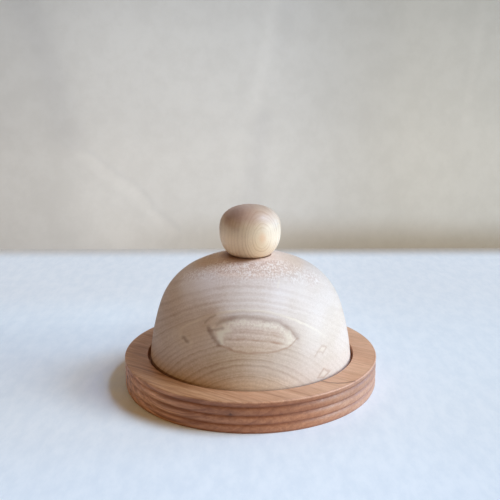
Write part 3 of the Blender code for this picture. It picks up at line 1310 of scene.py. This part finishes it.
@dataclass
class Cloche(Turned):
    """The hollow dome: a side arc, a shoulder arc and a crown that flattens towards the axis.

    Attributes:
        lean: how far the side faces up at the foot, in degrees.
        side_radius: radius of the side's arc.
        side_end: how far the surface faces up where the side ends.
        shoulder_radius: radius of the shoulder's arc.
        shoulder_end: how far the surface faces up where the shoulder ends.
        flatness: exponent of the crown's curve.
        wall: thickness at the foot.
        crown: thickness at the top.
        foot_round: rounding of the foot's outer edge.
        inner_round: rounding of its inner edge.
        seat: radius of the small flat that the knob stands on.
        hole_radius: radius of the hole for the pin.
        hole_depth: its depth.
    """

    node: str = "cloche"
    body: str = "cover"
    slot: str = "maple_cloche"
    timber: Timber = field(default_factory=ClocheMaple)
    steps: int = 320
    lean: float = 3.4
    side_radius: float = 138.4 * MM
    side_end: float = 18.6
    shoulder_radius: float = 38.5 * MM
    shoulder_end: float = 64.9
    flatness: float = 2.2
    wall: float = 7.5 * MM
    crown: float = 11.0 * MM
    foot_round: float = 1.1 * MM
    inner_round: float = 1.0 * MM
    seat: float = 12.4 * MM
    hole_radius: float = 4.3 * MM
    hole_depth: float = 7.0 * MM

    def dome(self, first: float, last: float) -> Outline:
        """The dome's outside.

        Args:
            first: the height above the foot that it starts at.
            last: the radius that it ends at.

        Returns:
            Radius and height above the foot, from the foot up.
        """
        foot = self.high.x
        lean = math.radians(self.lean)
        centre = (foot - self.side_radius * math.cos(lean), -self.side_radius * math.sin(lean))
        start = math.degrees(math.asin(math.sin(lean) + first / self.side_radius))
        points = arc(centre, self.side_radius, start, self.side_end, 20)
        turn = math.radians(self.side_end)
        x, z = points[-1]
        centre = (x - self.shoulder_radius * math.cos(turn), z - self.shoulder_radius * math.sin(turn))
        points += arc(centre, self.shoulder_radius, self.side_end, self.shoulder_end, 24)[1:]
        reach, level = points[-1]
        rise = reach / math.tan(math.radians(self.shoulder_end)) / self.flatness
        for i in range(1, 21):
            radius = reach + (last - reach) * i / 20
            points.append((radius, level + rise * (1 - (radius / reach) ** self.flatness)))
        return points

    def outline(self) -> Outline:
        """The pin's hole, the outside, the foot and the inside.

        Returns:
            Radius and height.
        """
        bottom = self.low.z
        outer = [(x, bottom + z) for x, z in self.dome(self.foot_round, self.seat)]
        full = self.dome(0.0, 0.0)[-1][1]
        across = (self.high.x - self.wall) / self.high.x
        up = (full - self.crown) / full
        inner = [(x * across, bottom + z * up) for x, z in self.dome(self.inner_round / up, 0.0)]
        seat = outer[-1][1]
        floor = seat - self.hole_depth
        outer_edge = (outer[0][0] - self.foot_round, outer[0][1])
        inner_edge = (inner[0][0] + self.inner_round, inner[0][1])
        points = [(0.0, floor), (self.hole_radius, floor), (self.hole_radius, seat), *reversed(outer)]
        points += arc(outer_edge, self.foot_round, 0, -90, 6)[1:]
        points += arc(inner_edge, self.inner_round, -90, -180, 6)[:-1]
        return points + inner


@dataclass
class Knob(Turned):
    """The ball knob, flat where it stands on the crown.

    Attributes:
        rise: from the widest level up to the pole.
        belly: from the widest level down to where the curve would close.
        fullness: exponent of the ball's curve.
        hole_radius: radius of the hole for the pin.
        hole_depth: its depth.
    """

    node: str = "knob"
    body: str = "cover"
    slot: str = "maple_knob"
    timber: Timber = field(default_factory=KnobMaple)
    steps: int = 200
    rise: float = 14.1 * MM
    belly: float = 18.0 * MM
    fullness: float = 2.42
    hole_radius: float = 4.3 * MM
    hole_depth: float = 14.0 * MM

    def half(self, reach: float, last: float, count: int = 28) -> Outline:
        """One half of the ball's curve.

        Args:
            reach: how far from the widest level the curve closes.
            last: how far it is followed.
            count: how many steps it has.

        Returns:
            Radius and distance from the widest level, closest together where the ball bends.
        """
        power = self.fullness
        end = math.asin((last / reach) ** (power / 2))
        points = []
        for i in range(count + 1):
            level = reach * math.sin(end * i / count) ** (2 / power)
            points.append((self.high.x * max(0.0, 1 - (level / reach) ** power) ** (1 / power), level))
        return points

    def outline(self) -> Outline:
        """The ball from its pole down to its flat, and the pin's hole.

        Returns:
            Radius and height.
        """
        base, pole = self.low.z, self.high.z
        widest = pole - self.rise
        upper = [(r, widest + level) for r, level in reversed(self.half(self.rise, self.rise))]
        upper[0] = (0.0, pole)
        lower = [(r, widest - level) for r, level in self.half(self.belly, widest - base)[1:]]
        top = base + self.hole_depth
        return upper + lower + [(self.hole_radius, base), (self.hole_radius, top), (0.0, top)]


@dataclass
class Pin(Turned):
    """The fluted pin between the cloche and the knob.

    Attributes:
        chamfer: bevel at each end.
        flutes: how many flutes it has.
        flute_depth: how deep a flute is.
        flute_sharpness: below 1 the flutes are wide, with narrow lands between them.
    """

    node: str = "knob_dowel"
    body: str = "cover"
    slot: str = "beech_dowel"
    timber: Timber = field(default_factory=PinBeech)
    steps: int = 144
    chamfer: float = 0.8 * MM
    flutes: int = 12
    flute_depth: float = 0.4 * MM
    flute_sharpness: float = 0.7

    def shaped(self) -> bmesh.types.BMesh:
        """The pin's shape: a stack of fluted rings between two small ends.

        Returns:
            The shape.
        """
        bottom, top = self.low.z, self.high.z
        radius = (self.high.x - self.low.x) / 2
        tip = radius - self.flute_depth - self.chamfer
        levels = [(bottom, tip, 0.0), (bottom + self.chamfer, radius, self.flute_depth)]
        levels += [(top - self.chamfer, radius, self.flute_depth), (top, tip, 0.0)]
        shape = bmesh.new()
        rings = []
        for height, reach, depth in levels:
            rings.append([])
            for i in range(self.steps):
                angle = math.tau * i / self.steps
                r = reach - depth * max(0.0, -math.cos(self.flutes * angle)) ** self.flute_sharpness
                rings[-1].append(shape.verts.new((r * math.cos(angle), r * math.sin(angle), height)))
        shape.faces.new(rings[0][::-1])
        shape.faces.new(rings[-1])
        skin(shape, rings, self.steps)
        return shape


@dataclass
class Sheet:
    """A flat, plain piece of the stage. Its size is in metres, and its tints are laid in millimetres.

    Attributes:
        name: its name.
        finish: its material's name.
        colour: its colour.
        across: the painted light from left to right, as places and shares.
        tints: its broad tints, which on the table are painted light towards the front and painted shade
            towards the back.
        roughness: its roughness.
        shine: how much light it reflects.
        half_width: half its width.
    """

    name: str
    finish: str
    colour: Colour
    across: Path
    tints: tuple[Tint, ...]
    roughness: float
    shine: float
    half_width: float = 1.6

    def corners(self) -> list[Triple]:
        """Its four corners, in order."""
        raise NotImplementedError

    def dress(self, place: Place) -> None:
        """Draw what only this sheet has."""
        raise NotImplementedError

    def make(self) -> bpy.types.Object:
        """Build the sheet and dress it.

        Returns:
            The finished sheet.
        """
        shape = bmesh.new()
        shape.faces.new([shape.verts.new(corner) for corner in self.corners()])
        piece = placed(self.name, shape)
        place = Place(Sketch(self.finish, self.colour))
        place.tint(self.tints)
        self.dress(place)
        piece.data.materials.append(place.sketch.finish(self.roughness, self.shine))
        return piece


@dataclass
class Table(Sheet):
    """The plain pale table top, matt, faintly woven and with a soft back edge.

    Attributes:
        back: how far behind the dish it ends.
        front: how far in front it reaches.
        weave: the tint of its faint weave.
        back_left: a patch of painted light behind the dish on the left.
        front_left: a patch of painted shade in front of the dish on the left.
        beside: the bounced light in the dish's shadow.
        edge_left: the tint of the back edge on the left.
        edge_right: the same on the right.
    """

    name: str = "table"
    finish: str = "table_pale"
    colour: Colour = (0.86, 0.87, 0.87)
    across: Path = (
        (-400.0, 1.0), (-140.0, 1.0), (-60.0, 1.02), (0.0, 1.05), (60.0, 1.03), (130.0, 0.97), (220.0, 0.95),
        (500.0, 0.93),
    )
    # Painted light towards the front, and painted shade towards the back.
    tints: tuple[Tint, ...] = (
        Tint((1.01, 1.035, 1.07), y=(-40.0, -150.0)),
        Tint((0.99, 0.96, 0.94), y=(40.0, 200.0)),
    )
    roughness: float = 0.9
    shine: float = 0.2
    back: float = 0.325
    front: float = 1.2
    weave: Colour = (0.925, 0.94, 0.955)
    back_left: Tint = Tint((1.07, 1.10, 1.11), x=(-60.0, -110.0))
    front_left: Tint = Tint((0.94, 0.945, 0.95), x=(-110.0, -170.0))
    beside: Tint = Tint((1.0, 1.12, 1.34), out=(108.0, 82.0), x=(-30.0, -64.0))
    edge_left: Colour = (0.74, 0.65, 0.56)
    edge_right: Colour = (0.58, 0.47, 0.36)

    def corners(self) -> list[Triple]:
        """Its four corners, on the ground that the dish stands on."""
        x = self.half_width
        return [(-x, -self.front, 0.0), (x, -self.front, 0.0), (x, self.back, 0.0), (-x, self.back, 0.0)]

    def dress(self, place: Place) -> None:
        """Draw the weave, the painted light across, the painted light and shade beside the dish and the back
        edge.

        Args:
            place: the places of the table.
        """
        sketch, x, y = place.sketch, place.x, place.y
        woven = sketch.vector(Op.MULTIPLY, place.point, (1.0, 0.36, 1.0))
        sketch.shade(sketch.noise(woven, 7.0, 7.0, 0.72).ease(0.34, 0.66), self.weave)
        # Painted light across the table, from left to right.
        light = x.curve(self.across)
        sketch.shade(1.0, sketch.joined(light, light, light))
        # Painted light behind the dish on the left, painted shade in front of it, and painted bounced light
        # in the dish's shadow.
        place.tint((self.back_left,), y.ridge(95.0, 85.0, 85.0))
        place.tint((self.front_left,), y.ridge(-35.0, 60.0, 60.0))
        place.tint((self.beside,), y.ridge(-8.0, 52.0, 52.0))
        edge = sketch.mixed(Tone.OVER, x.ease(-80.0, 60.0), self.edge_left, self.edge_right)
        sketch.shade(y.ease(286.0, 326.0), edge)


@dataclass
class Backdrop(Sheet):
    """The plain hanging sheet behind the table, flat and matt, with very soft folds drawn as painted light
    and shade.

    Attributes:
        away: how far behind the dish it hangs.
        turn: how far it is turned towards the window, in degrees.
        low: its lower edge.
        high: its upper edge.
        upward: the painted light from below upwards, as places and shares.
        corner: the tint of its lower right part.
        broad_fold: the painted shade of its broad folds.
        folds: the painted light and shade of its narrow folds and creases.
        mottle: the tint of its mottling.
        lift: what makes up for the mottling.
    """

    name: str = "backdrop"
    finish: str = "backdrop_sheet"
    colour: Colour = (0.67, 0.63, 0.595)
    across: Path = (
        (-600.0, 0.90), (-370.0, 0.98), (-190.0, 1.10), (0.0, 1.07), (200.0, 0.93), (400.0, 0.90),
        (500.0, 0.87), (700.0, 0.87),
    )
    tints: tuple[Tint, ...] = (Tint((0.99, 0.965, 0.905), x=(40.0, 360.0)),)
    roughness: float = 1.0
    shine: float = 0.5
    away: float = 1.1
    turn: float = 18.0
    low: float = -0.8
    high: float = 1.4
    upward: Path = (
        (-250.0, 0.88), (-200.0, 0.94), (-150.0, 1.02), (-90.0, 1.05), (0.0, 1.035), (52.0, 0.985),
        (150.0, 0.91), (200.0, 0.87), (250.0, 0.81), (300.0, 0.76), (400.0, 0.72),
    )
    corner: Colour = (0.74, 0.66, 0.56)
    broad_fold: Colour = (0.93, 0.93, 0.93)
    folds: tuple[Mark, ...] = (
        Mark(((-311.0, 6.0), (-232.0, -58.0), (-151.0, -151.0)), 17.0, 1.0, FOLD_LIT),
        Mark(((-296.0, 14.0), (-218.0, -50.0), (-137.0, -144.0)), 10.0, 0.4, FOLD_DIM),
        Mark(((-300.0, -90.0), (-225.0, -155.0)), 80.0, 0.9, FOLD_LIT),
        Mark(((51.0, 320.0), (40.0, 240.0), (24.0, 154.0), (4.0, 70.0)), 24.0, 0.9, FOLD_LIT),
        Mark(((80.0, 320.0), (60.0, 200.0)), 30.0, 0.35, FOLD_DIM),
        Mark(((24.0, 60.0), (12.0, -30.0), (2.0, -130.0)), 34.0, 0.8, FOLD_DIM),
        Mark(((-400.0, 320.0), (-352.0, 160.0), (-330.0, 40.0)), 46.0, 0.8, FOLD_DIM),
        Mark(((255.0, 320.0), (275.0, 170.0)), 60.0, 0.35, FOLD_DIM),
        Mark(((480.0, 320.0), (458.0, 50.0)), 20.0, 0.6, FOLD_LIT),
    )
    mottle: Colour = (0.955, 0.952, 0.948)
    lift: Colour = (1.026, 1.026, 1.028)

    def corners(self) -> list[Triple]:
        """Its four corners.

        Returns:
            Them, from the lower left round by the right.
        """
        x = self.half_width
        near = self.away - x * math.sin(math.radians(self.turn))
        far = self.away + x * math.sin(math.radians(self.turn))
        return [(-x, near, self.low), (x, far, self.low), (x, far, self.high), (-x, near, self.high)]

    def dress(self, place: Place) -> None:
        """Draw the painted light on the sheet, the painted light and shade of its folds, and its mottling.

        Args:
            place: the places of the sheet.
        """
        sketch, x, z = place.sketch, place.x, place.z
        # Painted light across the sheet and from below upwards.
        light = x.curve(self.across) * z.curve(self.upward)
        sketch.shade(1.0, sketch.joined(light, light, light))
        level = z + x * 0.09
        sketch.shade(x.ease(-380.0, 180.0) * level.ease(-110.0, -190.0), self.corner)
        # Painted light and shade of broad folds, then of narrow folds and creases, on the flat sheet.
        fold = sketch.noise(sketch.joined(x + z * 0.3, 40.0, z * 0.35), 160.0, 1.0)
        sketch.shade(fold.ease(0.35, 0.65, 0.0, 0.35), self.broad_fold)
        wander = sketch.wander(place.point, 60.0, 14.0)
        sketch.draw(Tone.SHADE, sketch.joined(x + wander, z + wander), self.folds)
        sketch.shade(sketch.noise(place.point, 42.0, 6.0, 0.68).ease(0.36, 0.64), self.mottle)
        sketch.shade(1.0, self.lift)


@dataclass(frozen=True)
class Softbox:
    """A plain soft lamp.

    Attributes:
        name: the lamp's name.
        place: where it stands.
        size: its width and height.
        power: its power in watts.
        colour: its colour.
        aim: the point that it faces.
    """

    name: str
    place: Triple
    size: tuple[float, float]
    power: float
    colour: Colour
    aim: Triple = (0.0, 0.0, 0.04)

    def make(self) -> bpy.types.Object:
        """Set the lamp up.

        Returns:
            The lamp.
        """
        lamp = bpy.data.lights.new(self.name, "AREA")
        lamp.shape = "RECTANGLE"
        lamp.size, lamp.size_y = self.size
        lamp.energy = self.power
        lamp.color = self.colour
        stand = bpy.data.objects.new(self.name, lamp)
        bpy.context.scene.collection.objects.link(stand)
        stand.location = self.place
        stand.rotation_euler = (Vector(self.aim) - Vector(self.place)).to_track_quat("-Z", "Y").to_euler()
        return stand


@dataclass
class Surround:
    """What is all round the scene: a soft warm light, and a plain pale colour for the camera.

    Attributes:
        light: colour of the light.
        strength: its strength.
        backing: what the camera sees where nothing stands.
    """

    light: Colour = (1.0, 0.64, 0.28)
    strength: float = 0.30
    backing: Colour = paint(200, 197, 192)

    def make(self) -> None:
        """Build the world."""
        world = bpy.data.worlds.new("surround")
        bpy.context.scene.world = world
        world.use_nodes = True
        nodes, links = world.node_tree.nodes, world.node_tree.links
        nodes.clear()
        fill, seen = nodes.new("ShaderNodeBackground"), nodes.new("ShaderNodeBackground")
        fill.inputs["Color"].default_value = (*self.light, 1.0)
        fill.inputs["Strength"].default_value = self.strength
        seen.inputs["Color"].default_value = (*self.backing, 1.0)
        pick = nodes.new("ShaderNodeMixShader")
        rays = nodes.new("ShaderNodeLightPath").outputs["Is Camera Ray"]
        for number, output in enumerate((rays, fill.outputs[0], seen.outputs[0])):
            links.new(output, pick.inputs[number])
        links.new(pick.outputs[0], nodes.new("ShaderNodeOutputWorld").inputs["Surface"])


@dataclass
class Camera:
    """The camera, at the photograph's place and angle.

    Attributes:
        place: where it stands.
        pitch: how far it looks down, in radians.
        roll: how far it is turned about its own line of sight.
        focal: its focal length in pixels of the picture.
        picture: the picture's width in pixels.
        sensor: its sensor's width in millimetres.
        nearest: how near to it things start to show.
    """

    place: Triple = (-0.0001, -0.4597, 0.1967)
    pitch: float = 0.2472
    roll: float = -0.0032
    focal: float = 800.0
    picture: float = 500.0
    sensor: float = 36.0
    nearest: float = 0.01

    def make(self) -> None:
        """Set the camera up and look through it."""
        view = bpy.data.cameras.new("camera")
        view.sensor_width = self.sensor
        view.lens = self.sensor * self.focal / self.picture
        view.clip_start = self.nearest
        camera = bpy.data.objects.new("camera", view)
        bpy.context.scene.collection.objects.link(camera)
        camera.location = self.place
        tilt = Matrix.Rotation(math.pi / 2 - self.pitch, 3, "X")
        camera.rotation_euler = (tilt @ Matrix.Rotation(self.roll, 3, "Z")).to_euler()
        bpy.context.scene.camera = camera


# The soft lamps on the right stand in for a tall window.
WINDOW = (
    Softbox("window_low", (5.55, -2.02, 1.08), (2.6, 2.6), 312.0, (0.81, 0.95, 1.0)),
    Softbox("window_high", (3.86, 0.0, 4.64), (2.6, 2.6), 330.0, (0.52, 0.72, 1.0)),
    Softbox("window_far", (5.55, 2.02, 1.08), (2.6, 2.6), 124.0, (0.20, 0.58, 1.0)),
)


def main() -> None:
    """Build the dish, then the stage and the light round it, and report each piece."""
    logging.basicConfig(level=logging.INFO, format="%(name)s: %(message)s")
    Camera().make()
    for part in (Plate(), Cloche(), Knob(), Pin(), Table(), Backdrop(), *WINDOW):
        log.info("%s is in place", part.make().name)
    Surround().make()
    bpy.context.scene.view_settings.view_transform = "Standard"


if __name__ == "__main__":
    main()
